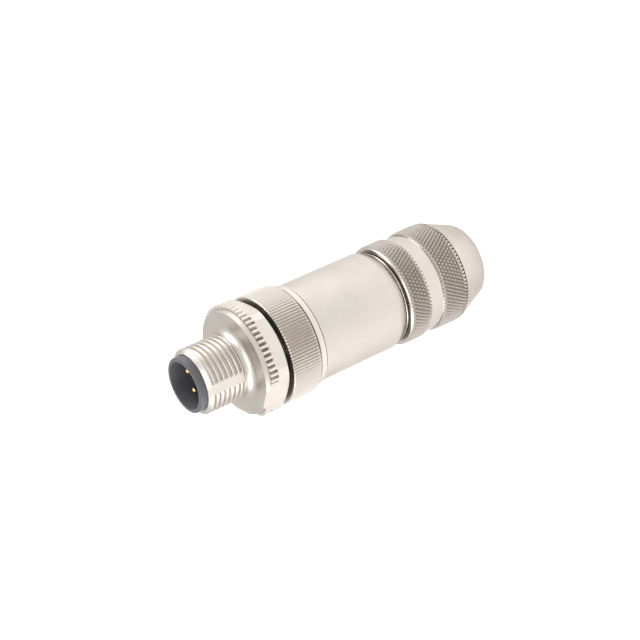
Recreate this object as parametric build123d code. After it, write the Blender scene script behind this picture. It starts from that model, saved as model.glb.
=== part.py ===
"""Round plug connector, size M12, four pins, screened metal body, fitted to a cable with hand tools.

The plug stands on its cable end: Z runs along its axis towards the pins, and the origin is the
centre of the cable-end face. All sizes are in millimetres.
"""

from build123d import *
from math import cos, pi, radians, sin
import os

# Clearances
RUN = 0.05                # radial, between parts that turn or slide on each other
SEAT = 0.02               # radial, between parts that stay together
FACE_GAP = 0.1            # axial, between faces that meet when screwed home

# Housing sleeve: bores, walls, and lengths from the rear end up
CHAMBER_R = 7.75          # bore round the insert
FRONT_WALL = 1.1          # from that bore to the crests of the front thread
SLEEVE_STEP = 0.35        # from those crests to the smooth outside
SLEEVE_LENGTH = 18.0
SLEEVE_TAPER = 1.6
SLEEVE_TAPER_DEPTH = 0.6
FRONT_THREAD_LENGTH = 5.0
SPIGOT_BORE_R = 6.9       # bore round the cable seal
SPIGOT_WALL = 1.35
SPIGOT_LENGTH = 9.5
BEAD_PROUD = 0.25
BEAD_WIDTH = 0.35
BEAD_NECK_DEPTH = 0.13
BEAD_GROOVE = 0.2
BEAD_STEP = 0.28
WEB_RISE = 2.6            # from the sleeve's rear end to the web's front
WEB_THICKNESS = 1.5
WEB_STEP = 0.8

# Gland nut, from the cable end up
CABLE_BORE_R = 4.4
CABLE_MOUTH_ROUND = 0.5
NUT_LENGTH = 19.1
NUT_WALL = 1.3            # from the thread to the knurl's tips
NUT_END_WALL = 2.5
NUT_END_ROUND = 0.8
NUT_CONE_LENGTH = 6.2
NUT_CONE_STEP = 0.15
NUT_REAR_BAND = 5.4
NUT_WAIST = 2.7
NUT_WAIST_DEPTH = 0.55
NUT_LIP = 0.2
NUT_LIP_STEP = 0.5
NUT_THREAD_DEPTH = 9.8    # from the nut's front face
PINCH_LENGTH = 5.3        # cone that squeezes the cage
PINCH_STEP = 0.8
PINCH_FLARE = 0.5
DIAMOND_COUNT = 80
DIAMOND_HALF_PITCH = 0.63 # along the axis
DIAMOND_FOOT = 0.07       # valleys above the waist
DIAMOND_END_RISE = 0.12   # end corners above the valleys
BAND_SEAT = 0.4           # how deep a knurled band reaches into the nut's wall

# Knurled collar that screws the insert to the sleeve
COLLAR_WALL = 1.29        # from the thread to the knurl's tips
COLLAR_SEAM = 0.3
COLLAR_LAND_PROUD = 0.27  # above the sleeve's outside
COLLAR_LAND = 1.0
COLLAR_GROOVE = 0.22
COLLAR_BEVEL = 0.55
COLLAR_KNURL_DEPTH = 0.34
COLLAR_KNURL_COUNT = 110
COLLAR_LIP = 0.55
COLLAR_LIP_GAP = 0.2
COLLAR_EDGE = 0.2

# Locking ring
RING_GAP = 0.7
FLANGE_LENGTH = 4.9
FLANGE_PROUD = 0.18       # corners above the collar's knurl
FLANGE_FLAT_DEPTH = 1.07
FLANGE_REAR_BEVEL = 0.55
FLANGE_REAR_MARGIN = 0.05  # rear face's rim outside the flats
FLANGE_FACE_STEP = 0.22    # front face's rim inside the teeth's roots
TOOTH_COUNT = 62
TOOTH_DEPTH = 0.65
TOOTH_BAND = 1.5
TOOTH_SETBACK = 0.75
TOOTH_FLAT = 0.4          # share of a tooth that its flat tip takes
PLAIN_FLATS = (30.0, 270.0, 330.0)  # directions of the flats without teeth
CORE_STEP = 0.5           # flange's core inside its front face's rim
NECK_LENGTH = 1.8
NECK_DEPTH = 0.4
NECK_FILLET = 1.3
THREAD_R = 6.0            # M12 x 1, at its crests
THREAD_LENGTH = 6.4
THREAD_WALL = 0.85
NOSE_LENGTH = 0.8
NOSE_BEVEL = 0.6
STRIP_HALF_ANGLE = 9.0    # smooth strips that break the thread on two sides
STRIP_ANGLE = 60.0
RECESS_FLOOR = 1.2        # metal between the flange's front face and the rear recess

# Insert
INSERT_PROUD = 1.3
INSERT_EDGE = 0.3
SOCKET_WALL = 0.75
SOCKET_DEPTH = 9.5
HUB_STEP = 1.3
INSERT_FLANGE_PROUD = 0.55
INSERT_FLANGE = 2.0
PILOT_LENGTH = 4.0
BLOCK_GAP = 0.45
BLOCK_LENGTH = 8.0
KEY_ANGLE = 75.0
KEY_WIDTH = 1.1
KEY_HEIGHT = 0.45
KEY_SETBACK = 0.6
LUG_WIDTH = 1.6
LUG_LENGTH = 1.8
LUG_HEIGHT = 0.45

# Seals and springs
ORING_SECTION_R = 0.42
ORING_SETBACK = 2.9       # from the insert flange's rear face to the ring's middle
SNAP_THICKNESS = 0.6
SNAP_DEPTH = 0.5          # how far it sits in the hub, and stands out of it
SNAP_SPLIT = 1.6
SNAP_FROM_REAR = 1.7      # middle of the ring, from the locking ring's rear face
WASHER_THICKNESS = 0.15
WASHER_WIDTH = 1.3
WASHER_FINGERS = 6
WASHER_FINGER_LENGTH = 2.6
WASHER_FINGER_WIDTH = 0.8

# Contacts
PIN_CIRCLE_R = 2.5
PIN_R = 0.5
PIN_COUNT = 4
FIRST_PIN_ANGLE = 30.0
PIN_SETBACK = 2.0         # tip below the insert's rim
PIN_TIP = 0.25
SHOULDER_R = 0.9
SHOULDER_LENGTH = 6.0
BARREL_R = 1.45
BARREL_LENGTH = 8.4
WIRE_R = 0.85
WIRE_DEPTH = 5.6
SCREW_R = 0.8
SCREW_HEAD_R = 1.15
SCREW_HEAD = 1.1
SCREW_FROM_REAR = 3.0
SCREW_SLOT = 0.4
SCREW_SLOT_DEPTH = 0.5
SCREW_SUNK = 0.3          # head below the block's surface

# Liner, screen clamp, cable seal and clamp cage
LINER_WALL = 0.65
LINER_GAP = 1.4           # from the web's front face to the liner
SCREEN_BORE_STEP = 0.1    # wider than the nut's cable bore
SCREEN_FLANGE = 0.85
SCREEN_CONE_LENGTH = 2.3
SCREEN_CONE_WALL = 0.5
SCREEN_CONE_TAPER = 0.6
BRAID_GAP = 0.3
SCREEN_CLAMP_LENGTH = 2.7
SEAL_LENGTH = 4.7
SEAL_SQUEEZE = 0.1        # narrower than the nut's cable bore
SEAL_RIB = 0.35
SEAL_RIBS = 3
CAGE_RING = 1.3
CAGE_FINGER_LENGTH = 6.0
CAGE_TIP_WALL = 0.65
CAGE_TIP_BEVEL = 1.0
CAGE_FINGERS = 8
CAGE_SLOT = 0.9

# Radii that follow from the walls
front_thread_r = CHAMBER_R + FRONT_WALL
sleeve_r = front_thread_r + SLEEVE_STEP
spigot_r = SPIGOT_BORE_R + SPIGOT_WALL
nut_thread_r = spigot_r + RUN
nut_grip_r = nut_thread_r + NUT_WALL
nut_waist_r = nut_grip_r - NUT_WAIST_DEPTH
diamond_root_r = nut_waist_r + DIAMOND_FOOT
diamond_end_r = diamond_root_r + DIAMOND_END_RISE
pinch_small_r = CABLE_BORE_R + PINCH_STEP
pinch_large_r = SPIGOT_BORE_R + PINCH_FLARE
collar_thread_r = front_thread_r + RUN
collar_r = collar_thread_r + COLLAR_WALL
collar_land_r = sleeve_r + COLLAR_LAND_PROUD
flange_r = collar_r + FLANGE_PROUD
flange_apothem = flange_r - FLANGE_FLAT_DEPTH
tooth_root_r = flange_r - TOOTH_DEPTH
ring_bore_r = THREAD_R - THREAD_WALL
insert_nose_r = ring_bore_r - RUN
socket_r = insert_nose_r - SOCKET_WALL
hub_r = insert_nose_r + HUB_STEP
recess_r = hub_r + RUN + SEAT
pilot_r = CHAMBER_R - RUN
block_r = CHAMBER_R - RUN - LINER_WALL - BLOCK_GAP
lug_r = CHAMBER_R + LUG_HEIGHT
snap_inner_r = hub_r - SNAP_DEPTH
snap_outer_r = hub_r + SNAP_DEPTH
screen_bore_r = CABLE_BORE_R + SCREEN_BORE_STEP
screen_cone_r = screen_bore_r + SCREEN_CONE_WALL
screen_base_r = screen_cone_r + SCREEN_CONE_TAPER
seal_bore_r = CABLE_BORE_R - SEAL_SQUEEZE
seal_r = SPIGOT_BORE_R - 2 * RUN

# Stations along the axis, built up from the lengths
nut_waist_z = NUT_CONE_LENGTH + NUT_REAR_BAND
nut_front_band_z = nut_waist_z + NUT_WAIST
nut_lip_z = NUT_LENGTH - NUT_LIP
nut_floor_z = NUT_LENGTH - NUT_THREAD_DEPTH
pinch_z = nut_floor_z - PINCH_LENGTH
spigot_z = NUT_LENGTH - SPIGOT_LENGTH
bead_z = NUT_LENGTH + BEAD_GROOVE
sleeve_z = bead_z + BEAD_WIDTH + BEAD_STEP
sleeve_front_z = sleeve_z + SLEEVE_LENGTH
thread_front_z = sleeve_front_z + FRONT_THREAD_LENGTH
web_front_z = sleeve_z + WEB_RISE
web_rear_z = web_front_z - WEB_THICKNESS
screen_flange_z = web_rear_z - RUN - SCREEN_FLANGE
clamp_front_z = screen_flange_z - BRAID_GAP
seal_front_z = clamp_front_z - SCREEN_CLAMP_LENGTH - RUN
cage_front_z = seal_front_z - SEAL_LENGTH - RUN
insert_flange_z = thread_front_z + FACE_GAP
insert_shoulder_z = insert_flange_z + INSERT_FLANGE
block_front_z = insert_flange_z - PILOT_LENGTH
block_z = block_front_z - BLOCK_LENGTH
collar_z = sleeve_front_z + COLLAR_SEAM
collar_knurl_z = collar_z + COLLAR_LAND + COLLAR_GROOVE + COLLAR_BEVEL
collar_lip_z = insert_shoulder_z + RUN
collar_front_z = collar_lip_z + COLLAR_LIP
ring_z = collar_front_z + RING_GAP
flange_front_z = ring_z + FLANGE_LENGTH
teeth_front_z = flange_front_z - TOOTH_SETBACK
teeth_z = teeth_front_z - TOOTH_BAND
recess_floor_z = flange_front_z - RECESS_FLOOR
thread_z = flange_front_z + NECK_LENGTH
ring_front_z = thread_z + THREAD_LENGTH + NOSE_LENGTH
insert_front_z = ring_front_z + INSERT_PROUD
socket_floor_z = insert_front_z - SOCKET_DEPTH
snap_z = ring_z + SNAP_FROM_REAR
oring_z = insert_flange_z - ORING_SETBACK
screw_z = block_z + SCREW_FROM_REAR
contact_angles = [FIRST_PIN_ANGLE + index * 360 / PIN_COUNT for index in range(PIN_COUNT)]


def turned(points, rounds=()):
    """Body of revolution about Z. Points are (radius, height), rounds are (corner, radius)."""
    outline = make_face(Polyline(*points, close=True))
    for corner, radius in rounds:
        vertex = outline.vertices().sort_by_distance(Vector(*corner))[0]
        outline = fillet(vertex, radius)
    return revolve(Plane.XZ * outline, Axis.Z)


def tube(inner, outer, low, high):
    """Plain ring between two radii and two heights."""
    return turned([(inner, low), (outer, low), (outer, high), (inner, high)])


def rod(radius, low, high):
    """Plain cylinder on the axis."""
    return Pos(0, 0, low) * extrude(Circle(radius), high - low, dir=(0, 0, 1))


def around(shape, angle):
    """The shape turned about the axis, in degrees."""
    return Rot(0, 0, angle) * shape


def star(count, tip, root, low, high, flat=0.0):
    """Prism with straight teeth round its rim. Flat is the share of each that its tip takes."""
    corners = [(0, root), (0.5 - flat / 2, tip)]
    if flat:
        corners.append((0.5 + flat / 2, tip))
    points = []
    for index in range(count):
        for share, radius in corners:
            angle = 2 * pi * (index + share) / count
            points.append((radius * cos(angle), radius * sin(angle)))
    return Pos(0, 0, low) * extrude(make_face(Polyline(*points, close=True)), high - low, dir=(0, 0, 1))


def diamond_band(low, high):
    """Ring whose rim is covered with four-sided pyramids in staggered rows."""
    rows = round((high - low) / DIAMOND_HALF_PITCH)
    bore_r = nut_waist_r - BAND_SEAT

    def corner(step, row):
        radius = diamond_root_r
        if (step + row) % 2:
            radius = diamond_end_r if row in (0, rows) else nut_grip_r
        angle = pi * step / DIAMOND_COUNT
        return Vector(radius * cos(angle), radius * sin(angle), low + (high - low) * row / rows)

    faces = []
    for row in range(rows + 1):
        for step in range(1 - row % 2, 2 * DIAMOND_COUNT, 2):
            peak = corner(step, row)
            left = corner(step - 1, row)
            right = corner(step + 1, row)
            if row > 0:
                below = corner(step, row - 1)
                faces.append(Face(Wire.make_polygon([peak, left, below])))
                faces.append(Face(Wire.make_polygon([peak, below, right])))
            if row < rows:
                above = corner(step, row + 1)
                faces.append(Face(Wire.make_polygon([peak, right, above])))
                faces.append(Face(Wire.make_polygon([peak, above, left])))
    for row, height in ((0, low), (rows, high)):
        rim = Wire.make_polygon([corner(step, row) for step in range(2 * DIAMOND_COUNT)])
        bore = Wire([Edge.make_circle(bore_r, Plane((0, 0, height)))])
        faces.append(Face(rim, [bore]))
    faces.append(Face.extrude(Edge.make_circle(bore_r, Plane((0, 0, low))), (0, 0, high - low)))
    return Solid(Shell(faces))


def make_gland_nut():
    """Pressing nut: rounded cone, two diamond-knurled bands and a smooth waist between them."""
    end_r = CABLE_BORE_R + NUT_END_WALL
    lip_base_r = diamond_end_r + SEAT
    nut = turned([
        (CABLE_BORE_R, 0),
        (end_r, 0),
        (nut_grip_r - NUT_CONE_STEP, NUT_CONE_LENGTH),
        (nut_waist_r, NUT_CONE_LENGTH),
        (nut_waist_r, nut_lip_z - 2 * SEAT),
        (lip_base_r, nut_lip_z - 2 * SEAT),
        (lip_base_r, nut_lip_z),
        (nut_grip_r - NUT_LIP_STEP, NUT_LENGTH),
        (nut_thread_r, NUT_LENGTH),
        (nut_thread_r, nut_floor_z),
        (pinch_large_r, nut_floor_z),
        (pinch_small_r, pinch_z),
        (CABLE_BORE_R, pinch_z),
    ], [((end_r, 0), NUT_END_ROUND), ((CABLE_BORE_R, 0), CABLE_MOUTH_ROUND)])
    nut += diamond_band(NUT_CONE_LENGTH - 2 * SEAT, nut_waist_z)
    return nut + diamond_band(nut_front_band_z, nut_lip_z - SEAT)


def make_housing_sleeve():
    """Smooth sleeve with a thread at each end, a web inside and slots for the insert's lugs."""
    bead_r = spigot_r + BEAD_PROUD
    neck_r = spigot_r - BEAD_NECK_DEPTH
    bead_round = BEAD_WIDTH / 2.5
    web_r = CABLE_BORE_R + WEB_STEP
    sleeve = turned([
        (SPIGOT_BORE_R, spigot_z),
        (spigot_r, spigot_z),
        (spigot_r, NUT_LENGTH),
        (neck_r, NUT_LENGTH),
        (neck_r, bead_z),
        (bead_r, bead_z),
        (bead_r, bead_z + BEAD_WIDTH),
        (neck_r, bead_z + BEAD_WIDTH),
        (neck_r, sleeve_z),
        (sleeve_r - SLEEVE_TAPER_DEPTH, sleeve_z),
        (sleeve_r, sleeve_z + SLEEVE_TAPER),
        (sleeve_r, sleeve_front_z),
        (front_thread_r, sleeve_front_z),
        (front_thread_r, thread_front_z),
        (CHAMBER_R, thread_front_z),
        (CHAMBER_R, web_front_z),
        (web_r, web_front_z),
        (web_r, web_rear_z),
        (SPIGOT_BORE_R, web_rear_z),
    ], [
        ((bead_r, bead_z), bead_round),
        ((bead_r, bead_z + BEAD_WIDTH), bead_round),
    ])
    slot = Box(
        2 * (lug_r + FACE_GAP),
        LUG_WIDTH + 2 * RUN,
        LUG_LENGTH + 2 * FACE_GAP,
        align=(Align.CENTER, Align.CENTER, Align.MIN),
    )
    return sleeve - Pos(0, 0, thread_front_z - LUG_LENGTH - FACE_GAP) * slot


def make_knurled_collar():
    """Straight-knurled ring: threaded over the sleeve, with a lip that holds the insert."""
    bevel_z = collar_z + COLLAR_LAND
    groove_r = collar_land_r - COLLAR_GROOVE
    lip_r = hub_r + COLLAR_LIP_GAP
    collar = turned([
        (collar_thread_r, collar_z),
        (collar_land_r, collar_z),
        (collar_land_r, bevel_z),
        (groove_r, bevel_z),
        (groove_r, bevel_z + COLLAR_GROOVE),
        (collar_land_r, bevel_z + COLLAR_GROOVE),
        (collar_r, collar_knurl_z),
        (collar_r, collar_front_z - COLLAR_EDGE),
        (collar_r - COLLAR_EDGE, collar_front_z),
        (lip_r, collar_front_z),
        (lip_r, collar_lip_z),
        (collar_thread_r, collar_lip_z),
    ])
    knurl = star(COLLAR_KNURL_COUNT, collar_r, collar_r - COLLAR_KNURL_DEPTH, bevel_z, collar_front_z)
    smooth_rear = rod(collar_land_r, collar_z, bevel_z + COLLAR_GROOVE)
    return collar & (knurl + smooth_rear)


def make_locking_ring():
    """Coupling screw: six-sided flange with a toothed rim, hollow neck and male thread."""
    face_r = tooth_root_r - FLANGE_FACE_STEP
    hexagon = RegularPolygon(flange_apothem, 6, major_radius=False)
    nut = Pos(0, 0, ring_z) * extrude(hexagon, teeth_z - ring_z, dir=(0, 0, 1))
    nut &= turned([
        (0, ring_z),
        (flange_apothem + FLANGE_REAR_MARGIN, ring_z),
        (flange_r, ring_z + FLANGE_REAR_BEVEL),
        (flange_r, teeth_z),
        (0, teeth_z),
    ])
    teeth = star(TOOTH_COUNT, flange_r, tooth_root_r, teeth_z, teeth_front_z, TOOTH_FLAT)
    rim = turned([
        (0, teeth_front_z),
        (tooth_root_r, teeth_front_z),
        (face_r, flange_front_z),
        (0, flange_front_z),
    ])
    plain = Box(flange_r, 2 * flange_r, FLANGE_LENGTH, align=(Align.MIN, Align.CENTER, Align.MIN))
    head = nut + teeth + rim
    for side in PLAIN_FLATS:
        head -= around(Pos(flange_apothem, 0, ring_z) * plain, side)
    core_r = face_r - CORE_STEP
    neck_r = THREAD_R - NECK_DEPTH
    barrel = turned([
        (0, ring_z),
        (core_r, ring_z),
        (core_r, flange_front_z),
        (neck_r, flange_front_z),
        (neck_r, thread_z - NECK_DEPTH),
        (THREAD_R, thread_z),
        (THREAD_R, ring_front_z - NOSE_BEVEL),
        (THREAD_R - NOSE_BEVEL, ring_front_z),
        (0, ring_front_z),
    ], [((neck_r, flange_front_z), NECK_FILLET)])
    strip_length = THREAD_LENGTH + 2 * NOSE_LENGTH
    strip = Box(THREAD_R, 2 * THREAD_R, strip_length, align=(Align.MIN, Align.CENTER, Align.MIN))
    strip = Pos(THREAD_R * cos(radians(STRIP_HALF_ANGLE)), 0, thread_z - NECK_DEPTH) * strip
    for side in (STRIP_ANGLE, STRIP_ANGLE + 180):
        barrel -= around(strip, side)
    snap_room_r = snap_outer_r + FACE_GAP
    snap_room = SNAP_THICKNESS / 2 + FACE_GAP
    bore = turned([
        (0, ring_z - 1),
        (recess_r, ring_z - 1),
        (recess_r, snap_z - snap_room),
        (snap_room_r, snap_z - snap_room),
        (snap_room_r, snap_z + snap_room),
        (recess_r, snap_z + snap_room),
        (recess_r, recess_floor_z),
        (ring_bore_r, recess_floor_z),
        (ring_bore_r, ring_front_z + 1),
        (0, ring_front_z + 1),
    ])
    return head + barrel - bore


def make_contact_carrier():
    """Moulded insert: socket at the front, flange and hub in the middle, terminal block behind."""
    groove_low = oring_z - ORING_SECTION_R - RUN
    groove_high = oring_z + ORING_SECTION_R + RUN
    groove_r = pilot_r - 2 * ORING_SECTION_R - RUN
    snap_low = snap_z - SNAP_THICKNESS / 2 - RUN
    snap_high = snap_z + SNAP_THICKNESS / 2 + RUN
    hub_front_z = recess_floor_z - FACE_GAP
    flange_rim_r = CHAMBER_R + INSERT_FLANGE_PROUD
    body = turned([
        (0, block_z),
        (block_r, block_z),
        (block_r, block_front_z),
        (pilot_r, block_front_z),
        (pilot_r, groove_low),
        (groove_r, groove_low),
        (groove_r, groove_high),
        (pilot_r, groove_high),
        (pilot_r, insert_flange_z),
        (flange_rim_r, insert_flange_z),
        (flange_rim_r, insert_shoulder_z),
        (hub_r, insert_shoulder_z),
        (hub_r, snap_low),
        (snap_inner_r - RUN, snap_low),
        (snap_inner_r - RUN, snap_high),
        (hub_r, snap_high),
        (hub_r, hub_front_z),
        (insert_nose_r, hub_front_z),
        (insert_nose_r, insert_front_z),
        (socket_r, insert_front_z),
        (socket_r, socket_floor_z),
        (0, socket_floor_z),
    ], [((insert_nose_r, insert_front_z), INSERT_EDGE)])
    key_high = insert_front_z - KEY_SETBACK
    key_length = key_high - socket_floor_z + 4 * RUN
    key = Box(KEY_HEIGHT + 4 * RUN, KEY_WIDTH, key_length, align=(Align.MIN, Align.CENTER, Align.MAX))
    body += around(Pos(socket_r - KEY_HEIGHT, 0, key_high) * key, KEY_ANGLE)
    lug = Box(2 * lug_r, LUG_WIDTH, LUG_LENGTH, align=(Align.CENTER, Align.CENTER, Align.MAX))
    body += Pos(0, 0, insert_flange_z) * lug
    for angle in contact_angles:
        body -= around(Pos(PIN_CIRCLE_R, 0, 0) * contact_outline(SEAT), angle)
        body -= around(screw_way(), angle)
    return body


def contact_outline(extra):
    """Outside of one contact about its own axis, grown by a clearance."""
    barrel_front = block_z + BARREL_LENGTH
    shoulder_front = barrel_front + SHOULDER_LENGTH
    tip = insert_front_z - PIN_SETBACK
    rear = block_z - 1 if extra else block_z
    return turned([
        (0, rear),
        (BARREL_R + extra, rear),
        (BARREL_R + extra, barrel_front + extra),
        (SHOULDER_R + extra, barrel_front + extra),
        (SHOULDER_R + extra, shoulder_front + extra),
        (PIN_R + extra, shoulder_front + extra),
        (PIN_R + extra, tip - PIN_TIP),
        (PIN_R - PIN_TIP + extra, tip),
        (0, tip),
    ])


def screw_way():
    """Radial hole in the terminal block that a screwdriver reaches the screw through."""
    hole = extrude(Circle(SCREW_HEAD_R + SEAT), block_r, dir=(0, 0, 1))
    return Pos(PIN_CIRCLE_R, 0, screw_z) * Rot(0, 90, 0) * hole


def make_contact(angle):
    """Turned pin with a wire barrel behind it, cross-drilled for its screw."""
    wire = rod(WIRE_R, block_z - 1, block_z + WIRE_DEPTH)
    cross = Rot(0, 90, 0) * extrude(Circle(SCREW_R + SEAT), 2 * BARREL_R, dir=(0, 0, 1))
    contact = contact_outline(0) - wire - Pos(0, 0, screw_z) * cross
    return around(Pos(PIN_CIRCLE_R, 0, 0) * contact, angle)


def make_terminal_screws():
    """One slotted screw per contact, pointing at the axis, as separate solids."""
    top = block_r - SCREW_SUNK
    head_bottom = top - SCREW_HEAD
    screw = turned([
        (0, PIN_CIRCLE_R + WIRE_R),
        (SCREW_R, PIN_CIRCLE_R + WIRE_R),
        (SCREW_R, head_bottom),
        (SCREW_HEAD_R, head_bottom),
        (SCREW_HEAD_R, top),
        (0, top),
    ])
    slot_align = (Align.CENTER, Align.CENTER, Align.MAX)
    slot = Box(3 * SCREW_HEAD_R, SCREW_SLOT, SCREW_SLOT_DEPTH, align=slot_align)
    screw -= Pos(0, 0, top) * slot
    screw = Pos(0, 0, screw_z) * Rot(0, 90, 0) * screw
    return Compound(children=[around(screw, angle) for angle in contact_angles])


def make_insert_seal():
    """O-ring in the insert's pilot."""
    return Pos(0, 0, oring_z) * Torus(pilot_r - ORING_SECTION_R - RUN / 2, ORING_SECTION_R)


def make_retaining_ring():
    """Split ring that keeps the locking ring on the insert's hub."""
    half = SNAP_THICKNESS / 2
    ring = tube(snap_inner_r, snap_outer_r, snap_z - half, snap_z + half)
    split_align = (Align.MIN, Align.CENTER, Align.CENTER)
    split = Box(2 * snap_outer_r, SNAP_SPLIT, 2 * SNAP_THICKNESS, align=split_align)
    return ring - around(Pos(0, 0, snap_z) * split, KEY_ANGLE + 180)


def make_contact_spring():
    """Thin fingered washer that carries the screen from the collar to the locking ring."""
    inner = hub_r + 4 * RUN
    low = collar_front_z + RUN
    high = ring_z - RUN
    washer = tube(inner, inner + WASHER_WIDTH, low, low + WASHER_THICKNESS)
    finger = make_face(Polyline(
        (0, low),
        (WASHER_FINGER_LENGTH, high - WASHER_THICKNESS),
        (WASHER_FINGER_LENGTH, high),
        (0, low + WASHER_THICKNESS),
        close=True,
    ))
    finger = extrude(Plane.XZ * finger, WASHER_FINGER_WIDTH, dir=(0, 1, 0))
    finger = Pos(0, inner + (WASHER_WIDTH - WASHER_FINGER_WIDTH) / 2, 0) * finger
    for index in range(WASHER_FINGERS):
        washer += around(finger, index * 360 / WASHER_FINGERS)
    return washer


def make_insulating_liner():
    """Thin plastic tube between the wires and the sleeve."""
    outer = CHAMBER_R - RUN
    high = block_front_z - FACE_GAP
    return tube(outer - LINER_WALL, outer, web_front_z + LINER_GAP, high)


def make_shield_ring():
    """Flanged cone that the cable screen is folded back over."""
    return turned([
        (screen_bore_r, screen_flange_z - SCREEN_CONE_LENGTH),
        (screen_cone_r, screen_flange_z - SCREEN_CONE_LENGTH),
        (screen_base_r, screen_flange_z),
        (seal_r, screen_flange_z),
        (seal_r, web_rear_z - RUN),
        (screen_bore_r, web_rear_z - RUN),
    ])


def make_shield_clamp():
    """Ring with a tapered bore that presses the cable screen on the cone."""
    return turned([
        (screen_cone_r + BRAID_GAP, clamp_front_z - SCREEN_CLAMP_LENGTH),
        (seal_r, clamp_front_z - SCREEN_CLAMP_LENGTH),
        (seal_r, clamp_front_z),
        (screen_base_r + BRAID_GAP, clamp_front_z),
    ])


def make_cable_seal():
    """Rubber sleeve with ribs in its bore."""
    rear = seal_front_z - SEAL_LENGTH
    pitch = SEAL_LENGTH / SEAL_RIBS
    bore = [(seal_bore_r + SEAL_RIB, seal_front_z)]
    for index in range(SEAL_RIBS):
        top = seal_front_z - index * pitch
        bore.append((seal_bore_r, top - pitch / 2))
        bore.append((seal_bore_r + SEAL_RIB, top - pitch))
    return turned([(seal_r, rear), (seal_r, seal_front_z)] + bore)


def make_clamp_cage():
    """Slit plastic cage whose fingers the nut's cone squeezes onto the cable."""
    ring_low = cage_front_z - CAGE_RING
    finger_low = ring_low - CAGE_FINGER_LENGTH
    slope = (pinch_large_r - pinch_small_r) / PINCH_LENGTH
    tip_r = pinch_small_r + slope * (finger_low - pinch_z) - 2 * RUN
    cone_high = pinch_z + (seal_r + 2 * RUN - pinch_small_r) / slope
    inner = seal_bore_r + SEAL_RIB
    cage = turned([
        (tip_r - CAGE_TIP_WALL, finger_low),
        (tip_r, finger_low),
        (seal_r, min(cone_high, ring_low)),
        (seal_r, cage_front_z),
        (inner, cage_front_z),
        (inner, finger_low + CAGE_TIP_BEVEL),
    ])
    slot = Box(2 * seal_r, CAGE_SLOT, CAGE_FINGER_LENGTH, align=(Align.MIN, Align.CENTER, Align.MIN))
    for index in range(CAGE_FINGERS):
        cage -= around(Pos(0, 0, finger_low) * slot, index * 360 / CAGE_FINGERS)
    return cage


def build():
    """Every node by name."""
    nodes = {
        "gland_nut": make_gland_nut(),
        "housing_sleeve": make_housing_sleeve(),
        "knurled_collar": make_knurled_collar(),
        "locking_ring": make_locking_ring(),
        "contact_carrier": make_contact_carrier(),
        "terminal_screws": make_terminal_screws(),
        "insert_seal": make_insert_seal(),
        "retaining_ring": make_retaining_ring(),
        "contact_spring": make_contact_spring(),
        "insulating_liner": make_insulating_liner(),
        "shield_ring": make_shield_ring(),
        "shield_clamp": make_shield_clamp(),
        "cable_seal": make_cable_seal(),
        "clamp_cage": make_clamp_cage(),
    }
    for number, angle in enumerate(contact_angles, start=1):
        nodes[f"contact_{number}"] = make_contact(angle)
    return nodes


os.makedirs("parts", exist_ok=True)
for name, shape in build().items():
    export_step(shape, f"parts/{name}.step")
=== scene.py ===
"""Dresses the round plug connector: camera, lamps, materials and the fine thread."""

from math import cos, hypot, radians, sin

import bmesh
import bpy
from mathutils import Matrix, Vector


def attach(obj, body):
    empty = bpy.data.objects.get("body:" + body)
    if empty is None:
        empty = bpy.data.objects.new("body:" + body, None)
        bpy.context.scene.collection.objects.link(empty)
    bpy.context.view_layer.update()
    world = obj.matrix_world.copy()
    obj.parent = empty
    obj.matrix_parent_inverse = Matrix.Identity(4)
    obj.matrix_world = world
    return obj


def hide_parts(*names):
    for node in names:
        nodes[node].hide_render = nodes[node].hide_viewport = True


MM = 0.001

# Camera, fitted to the rings of the plug in the photograph (millimetres)
VIEW_CENTRE = Vector((0, 0, 32.2))
ACROSS = Vector((0.99905, -0.04362, 0))
NEAR = Vector((0.04362, 0.99905, 0))
UP = Vector((0, 0, 1))
CAMERA_OFFSET = -0.66 * ACROSS + 307.1 * NEAR + 171.2 * UP
CAMERA_RIGHT = 0.4131 * ACROSS + 0.4433 * NEAR - 0.7955 * UP
CAMERA_DOWN = 0.9107 * ACROSS - 0.2011 * NEAR + 0.3608 * UP
CAMERA_FORWARD = -0.8735 * NEAR - 0.4868 * UP
LENS = 111.9
SENSOR_WIDTH = 36
CLIP_START = 0.01  # metres

# World's level on matt surfaces, and the floor (size in metres)
WORLD_LEVEL = 0.65
FLOOR_SIZE = 6
FLOOR_COLOUR = (0.74, 0.73, 0.71, 1)
FLOOR_GLOW = 0.56

# Square soft lamps: name, place, aim and side in metres, power in watts
LAMPS = (
    ("left softbox", (-0.12, 0.01, 0.09), (-0.06, 0, 0), 0.09, 0.13),
    ("right softbox", (0.12, 0.01, 0.09), (0.06, 0, 0), 0.09, 0.12),
    ("overhead softbox", (0.10, 0.35, 0.60), (0, 0, 0.03), 0.5, 1.5),
)

# Fine thread of the locking ring (millimetres)
THREAD_R = 6.0
THREAD_ROOT_R = 5.45
THREAD_PITCH = 1.0
THREAD_LOW = 52.63
THREAD_HIGH = 60.23
FLANK_START = 0.10      # share of the half pitch where the crest ends
FLANK_END = 0.88        # and where the root starts
RUN_IN_START = THREAD_LOW + 0.25
RUN_IN_END = THREAD_LOW + 0.75
RUN_OUT_START = 59.05
RUN_OUT_END = 59.40
NECK_R = 5.6
NOSE_R = 5.4
STRIP_ANGLE = 60.0      # smooth strips across the thread, in degrees
STRIP_HALF_ANGLE = 9.0
BARREL_INSIDE_R = 5.3   # faces farther out than this belong to the barrel
END_MARGIN = 0.01
THREAD_AROUND = 288
THREAD_ROWS = 152

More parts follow.
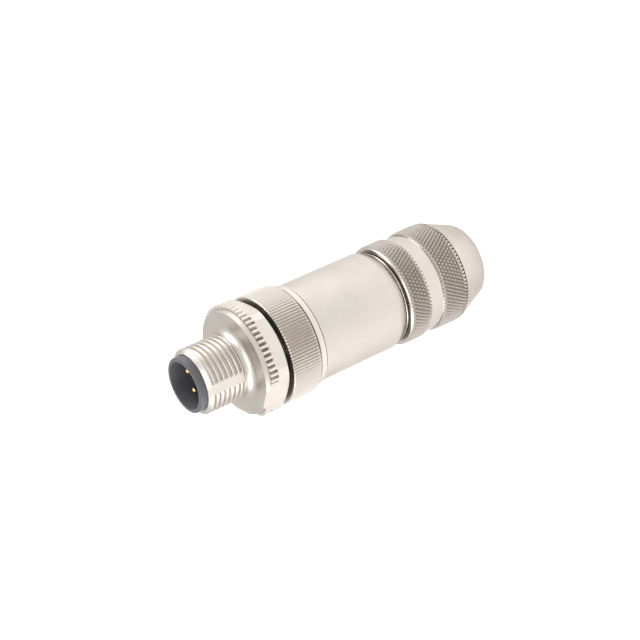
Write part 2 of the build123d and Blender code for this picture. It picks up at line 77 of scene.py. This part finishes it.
# Colours, linear
NICKEL = (0.51, 0.478, 0.443, 1)
BRIGHT_NICKEL = (0.60, 0.56, 0.52, 1)
EDGE_TINT = (0.72, 0.70, 0.68, 1)
GOLD = (0.80, 0.56, 0.24, 1)
BLACK_PLASTIC = (0.092, 0.091, 0.102, 1)
RUBBER = (0.012, 0.012, 0.013, 1)
PALE_PLASTIC = (0.62, 0.61, 0.57, 1)
SCREW_STEEL = (0.55, 0.55, 0.56, 1)

# Surfaces: noise scales, factors on the colour, spreads of roughness, heights of bumps in metres
BLOTCH_SCALE = 260
BLOTCH_SHADES = (0.94, 1.03)
SPECK_SCALE = 2600
SPECK_SHADE = 0.93
# Sharp edges lighter by this factor: partly rubbed wear, partly painted highlight
RUBBED_AND_HIGHLIGHT_SHADE = 1.06
# Warm tint of the painted shade that darkens the grooves
SHADE_TINT = (1.0, 0.94, 0.86)
METAL_SPREAD = (0.03, 0.04)
METAL_BUMP = 0.00002
CLOUD_SCALE = 400
CLOUD_SHADES = (0.85, 1.2)
PLASTIC_SPREAD = (0.06, 0.08)
PLASTIC_BUMP = 0.00003
EDGE_START = 0.52
EDGE_END = 0.60
# Ambient occlusion that places painted shade in grooves: reach, ramp start, samples
CREASE_REACH = 0.0005   # metres
CREASE_START = 0.1
CREASE_SAMPLES = 12


def add_camera():
    """Camera at the photograph's place, rolled as it is there."""
    data = bpy.data.cameras.new("camera")
    data.lens = LENS
    data.sensor_width = SENSOR_WIDTH
    data.clip_start = CLIP_START
    camera = bpy.data.objects.new("camera", data)
    place = Matrix((CAMERA_RIGHT, -CAMERA_DOWN, -CAMERA_FORWARD)).transposed().to_4x4()
    place.translation = (VIEW_CENTRE + CAMERA_OFFSET) * MM
    camera.matrix_world = place
    bpy.context.scene.collection.objects.link(camera)
    bpy.context.scene.camera = camera


def add_lamp(name, place, aim, side, power):
    """Square soft lamp that points at its aim."""
    data = bpy.data.lights.new(name, "AREA")
    data.shape = "RECTANGLE"
    data.size = side
    data.size_y = side
    data.energy = power
    lamp = bpy.data.objects.new(name, data)
    lamp.location = place
    lamp.rotation_euler = (Vector(aim) - Vector(place)).to_track_quat("-Z", "Y").to_euler()
    lamp.visible_camera = False
    bpy.context.scene.collection.objects.link(lamp)


def math(tree, operation, first, second):
    """One arithmetic node. Inputs are sockets or numbers."""
    node = tree.nodes.new("ShaderNodeMath")
    node.operation = operation
    for socket, value in zip(node.inputs, (first, second)):
        if isinstance(value, (int, float)):
            socket.default_value = value
        else:
            tree.links.new(value, socket)
    return node.outputs[0]


def background_share(tree):
    """1 for the rays that see the white background: camera, glossy and transmission rays."""
    path = tree.nodes.new("ShaderNodeLightPath")
    seen = math(tree, "MAXIMUM", path.outputs["Is Camera Ray"], path.outputs["Is Glossy Ray"])
    return math(tree, "MAXIMUM", seen, path.outputs["Is Transmission Ray"])


def set_world():
    """White background, seen by the camera and in metal alike, and a soft grey light on matt surfaces."""
    world = bpy.data.worlds.new("studio")
    bpy.context.scene.world = world
    world.use_nodes = True
    tree = world.node_tree
    tree.nodes.clear()
    white = tree.nodes.new("ShaderNodeBackground")
    white.inputs["Color"].default_value = grey(1)
    white.inputs["Strength"].default_value = 1.0
    soft = tree.nodes.new("ShaderNodeBackground")
    soft.inputs["Color"].default_value = grey(1)
    soft.inputs["Strength"].default_value = WORLD_LEVEL
    mix = tree.nodes.new("ShaderNodeMixShader")
    out = tree.nodes.new("ShaderNodeOutputWorld")
    tree.links.new(background_share(tree), mix.inputs[0])
    tree.links.new(soft.outputs[0], mix.inputs[1])
    tree.links.new(white.outputs[0], mix.inputs[2])
    tree.links.new(mix.outputs[0], out.inputs[0])


def add_floor():
    """Pale floor that glows to white in view and in metal alike, and keeps the object's shadow."""
    bpy.ops.mesh.primitive_plane_add(size=FLOOR_SIZE, location=(0, 0, 0))
    floor = bpy.context.object
    floor.name = "floor"
    material = bpy.data.materials.new("floor_white")
    material.use_nodes = True
    tree = material.node_tree
    tree.nodes.clear()
    matte = tree.nodes.new("ShaderNodeBsdfDiffuse")
    matte.inputs["Color"].default_value = FLOOR_COLOUR
    glow = tree.nodes.new("ShaderNodeEmission")
    glow.inputs["Color"].default_value = grey(1)
    tree.links.new(math(tree, "MULTIPLY", background_share(tree), FLOOR_GLOW), glow.inputs["Strength"])
    whole = tree.nodes.new("ShaderNodeAddShader")
    tree.links.new(matte.outputs[0], whole.inputs[0])
    tree.links.new(glow.outputs[0], whole.inputs[1])
    out = tree.nodes.new("ShaderNodeOutputMaterial")
    tree.links.new(whole.outputs[0], out.inputs[0])
    floor.data.materials.append(material)


def new_material(name):
    """Empty node material with one shader joined to its output."""
    material = bpy.data.materials.new(name)
    material.use_nodes = True
    return material, material.node_tree, material.node_tree.nodes["Principled BSDF"]


def noise(tree, scale, detail=3, stretch=(1, 1, 1)):
    """Noise over the object's own space, stretched along an axis if asked."""
    place = tree.nodes.new("ShaderNodeTexCoord")
    spread = tree.nodes.new("ShaderNodeMapping")
    spread.inputs["Scale"].default_value = stretch
    texture = tree.nodes.new("ShaderNodeTexNoise")
    texture.inputs["Scale"].default_value = scale
    texture.inputs["Detail"].default_value = detail
    tree.links.new(place.outputs["Object"], spread.inputs["Vector"])
    tree.links.new(spread.outputs["Vector"], texture.inputs["Vector"])
    return texture.outputs["Fac"]


def ramp(tree, value, low, high, start=0.3, end=0.7):
    """Colour or grey that runs from low to high as a value goes from start to end."""
    node = tree.nodes.new("ShaderNodeValToRGB")
    node.color_ramp.elements[0].position = start
    node.color_ramp.elements[1].position = end
    node.color_ramp.elements[0].color = low
    node.color_ramp.elements[1].color = high
    tree.links.new(value, node.inputs["Fac"])
    return node.outputs["Color"]


def shade(colour, factor):
    """The colour made lighter or darker."""
    return tuple(min(1.0, c * factor) for c in colour[:3]) + (1,)


def grey(value):
    """A grey as a colour."""
    return (value, value, value, 1)


def blend(tree, factor, first, second):
    """Mix of two colours, each a socket or a plain colour."""
    node = tree.nodes.new("ShaderNodeMix")
    node.data_type = "RGBA"
    tree.links.new(factor, node.inputs[0])
    for socket, value in ((node.inputs[6], first), (node.inputs[7], second)):
        if isinstance(value, tuple):
            socket.default_value = value
        else:
            tree.links.new(value, socket)
    return node.outputs[2]


def shaded_creases(tree, end):
    """Mask for painted shade in grooves: 0 deep in a groove, 1 on open surface."""
    node = tree.nodes.new("ShaderNodeAmbientOcclusion")
    node.only_local = True
    node.samples = CREASE_SAMPLES
    node.inputs["Distance"].default_value = CREASE_REACH
    return ramp(tree, node.outputs["AO"], grey(0), grey(1), CREASE_START, end)


def edges(tree):
    """Mask for edges lightened as rubbed wear and painted highlight: 1 along sharp outer edges, 0
    elsewhere.
    """
    geometry = tree.nodes.new("ShaderNodeNewGeometry")
    return ramp(tree, geometry.outputs["Pointiness"], grey(0), grey(1), EDGE_START, EDGE_END)


def add_grain(tree, shader, fine, roughness, spread, strength, height):
    """Roughness and bump that follow a fine noise."""
    rough = ramp(tree, fine, grey(roughness - spread[0]), grey(roughness + spread[1]))
    tree.links.new(rough, shader.inputs["Roughness"])
    bump = tree.nodes.new("ShaderNodeBump")
    bump.inputs["Strength"].default_value = strength
    bump.inputs["Distance"].default_value = height
    tree.links.new(fine, bump.inputs["Height"])
    tree.links.new(bump.outputs["Normal"], shader.inputs["Normal"])


def metal(name, colour, roughness, grain, scale, stretch=(1, 1, 1), crease_shade=0.3, depth=0.6, speckle=0.5):
    """Plated metal with fine grain, mottling, painted shade in its grooves, edges lightened partly as
    rubbed wear and partly as painted highlight, and a varying roughness.
    """
    material, tree, shader = new_material(name)
    shader.inputs["Metallic"].default_value = 1.0
    shader.inputs["Specular Tint"].default_value = EDGE_TINT
    darker, lighter = BLOTCH_SHADES
    blotch = ramp(tree, noise(tree, BLOTCH_SCALE, 4), shade(colour, darker), shade(colour, lighter))
    specks = ramp(tree, noise(tree, SPECK_SCALE), grey(0), grey(speckle))
    mottled = blend(tree, specks, blotch, shade(colour, SPECK_SHADE))
    # Sharp edges lightened: partly rubbed wear, partly painted highlight on knurl tips and lips
    rubbed_and_highlit = blend(tree, edges(tree), mottled, shade(colour, RUBBED_AND_HIGHLIGHT_SHADE))
    # Painted shade: the colour darkened and warmed in grooves and creases, where shade falls
    shaded_colour = tuple(c * (1 - crease_shade) * tint for c, tint in zip(colour[:3], SHADE_TINT)) + (1,)
    tree.links.new(blend(tree, shaded_creases(tree, depth), shaded_colour, rubbed_and_highlit), shader.inputs["Base Color"])
    add_grain(tree, shader, noise(tree, scale, 5, stretch), roughness, METAL_SPREAD, grain, METAL_BUMP)
    return material


def plastic(name, colour, roughness, grain, scale):
    """Moulded plastic or rubber with a fine texture."""
    material, tree, shader = new_material(name)
    darker, lighter = CLOUD_SHADES
    cloud = ramp(tree, noise(tree, CLOUD_SCALE), shade(colour, darker), shade(colour, lighter))
    tree.links.new(cloud, shader.inputs["Base Color"])
    add_grain(tree, shader, noise(tree, scale, 4), roughness, PLASTIC_SPREAD, grain, PLASTIC_BUMP)
    return material


def dress(obj, material):
    """Gives an object its material."""
    obj.data.materials.clear()
    obj.data.materials.append(material)


def smooth_step(value, low, high):
    """0 below low, 1 above high, smooth between."""
    share = min(1.0, max(0.0, (value - low) / (high - low)))
    return share * share * (3 - 2 * share)


def thread_radius(turn, height):
    """Outside radius of the threaded barrel at a direction in degrees and a height in millimetres."""
    phase = ((height - THREAD_LOW) / THREAD_PITCH - turn / 360) % 1.0
    from_crest = 1 - abs(2 * phase - 1)
    depth = (THREAD_R - THREAD_ROOT_R) * smooth_step(from_crest, FLANK_START, FLANK_END)
    run_in = smooth_step(height, RUN_IN_START, RUN_IN_END)
    run_out = smooth_step(height, RUN_OUT_START, RUN_OUT_END)
    depth *= run_in * (1 - run_out)
    radius = THREAD_R - depth
    aside = (turn - STRIP_ANGLE + 90) % 180 - 90
    if abs(aside) < STRIP_HALF_ANGLE:
        radius = THREAD_R * cos(radians(STRIP_HALF_ANGLE)) / cos(radians(aside))
    radius = min(radius, NOSE_R + (THREAD_HIGH - height))
    return min(radius, NECK_R + (height - THREAD_LOW))


def is_barrel(face):
    """Whether a face of the locking ring belongs to its plain barrel."""
    middle = face.calc_center_median()
    if hypot(middle.x, middle.y) <= BARREL_INSIDE_R * MM:
        return False
    return THREAD_LOW * MM < middle.z < (THREAD_HIGH - END_MARGIN) * MM


def add_thread(source):
    """Copy of the locking ring whose plain barrel is exchanged for a right-handed fine thread."""
    mesh = source.data.copy()
    ring = bpy.data.objects.new("locking_ring_threaded", mesh)
    bpy.context.scene.collection.objects.link(ring)
    work = bmesh.new()
    work.from_mesh(mesh)
    plain = [face for face in work.faces if is_barrel(face)]
    bmesh.ops.delete(work, geom=plain, context="FACES")
    grid = []
    for row in range(THREAD_ROWS + 1):
        height = THREAD_LOW + (THREAD_HIGH - THREAD_LOW) * row / THREAD_ROWS
        line = []
        for step in range(THREAD_AROUND):
            turn = 360 * step / THREAD_AROUND
            radius = thread_radius(turn, height) * MM
            spot = (radius * cos(radians(turn)), radius * sin(radians(turn)), height * MM)
            line.append(work.verts.new(spot))
        grid.append(line)
    for lower, upper in zip(grid, grid[1:]):
        for step in range(THREAD_AROUND):
            after = (step + 1) % THREAD_AROUND
            face = work.faces.new((lower[step], lower[after], upper[after], upper[step]))
            face.smooth = True
    work.to_mesh(mesh)
    work.free()
    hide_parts("locking_ring")
    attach(ring, "locking_ring")
    return ring


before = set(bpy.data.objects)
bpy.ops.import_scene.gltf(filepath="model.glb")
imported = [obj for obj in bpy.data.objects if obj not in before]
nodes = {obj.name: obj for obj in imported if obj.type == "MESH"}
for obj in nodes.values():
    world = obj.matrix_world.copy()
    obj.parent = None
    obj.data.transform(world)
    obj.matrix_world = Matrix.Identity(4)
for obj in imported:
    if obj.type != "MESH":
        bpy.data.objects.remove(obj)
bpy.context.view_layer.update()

bpy.context.scene.view_settings.view_transform = "Standard"
add_camera()
set_world()
add_floor()
for lamp_values in LAMPS:
    add_lamp(*lamp_values)

# Each metal's share of painted shade in its grooves, and the occlusion ramp end where that shade stops
satin = metal("satin_nickel", shade(NICKEL, 1.15), 0.37, 0.22, 9000, crease_shade=0.1)
knurled = metal("knurled_nickel", shade(BRIGHT_NICKEL, 0.88), 0.24, 0.12, 9000, crease_shade=0.4, depth=0.6)
ribbed = metal("ribbed_nickel", shade(BRIGHT_NICKEL, 0.90), 0.30, 0.12, 9000, crease_shade=0.25, depth=0.42)
turned = metal("turned_nickel", shade(NICKEL, 0.95), 0.20, 0.08, 700, stretch=(1, 1, 9), speckle=0.1)
gold = metal("gold_plate", GOLD, 0.22, 0.1, 6000)
steel = metal("zinc_screw", SCREW_STEEL, 0.35, 0.2, 7000)
black = plastic("black_insert", BLACK_PLASTIC, 0.45, 0.25, 5000)
rubber = plastic("seal_rubber", RUBBER, 0.7, 0.3, 4000)
pale = plastic("liner_plastic", PALE_PLASTIC, 0.5, 0.15, 5000)

FINISH = {
    "gland_nut": knurled,
    "housing_sleeve": turned,
    "knurled_collar": ribbed,
    "locking_ring": satin,
    "contact_carrier": black,
    "contact_1": gold,
    "contact_2": gold,
    "contact_3": gold,
    "contact_4": gold,
    "terminal_screws": steel,
    "insert_seal": rubber,
    "retaining_ring": steel,
    "contact_spring": steel,
    "insulating_liner": pale,
    "shield_ring": satin,
    "shield_clamp": satin,
    "cable_seal": rubber,
    "clamp_cage": black,
}
for node_name, finish in FINISH.items():
    dress(nodes[node_name], finish)
dress(add_thread(nodes["locking_ring"]), satin)
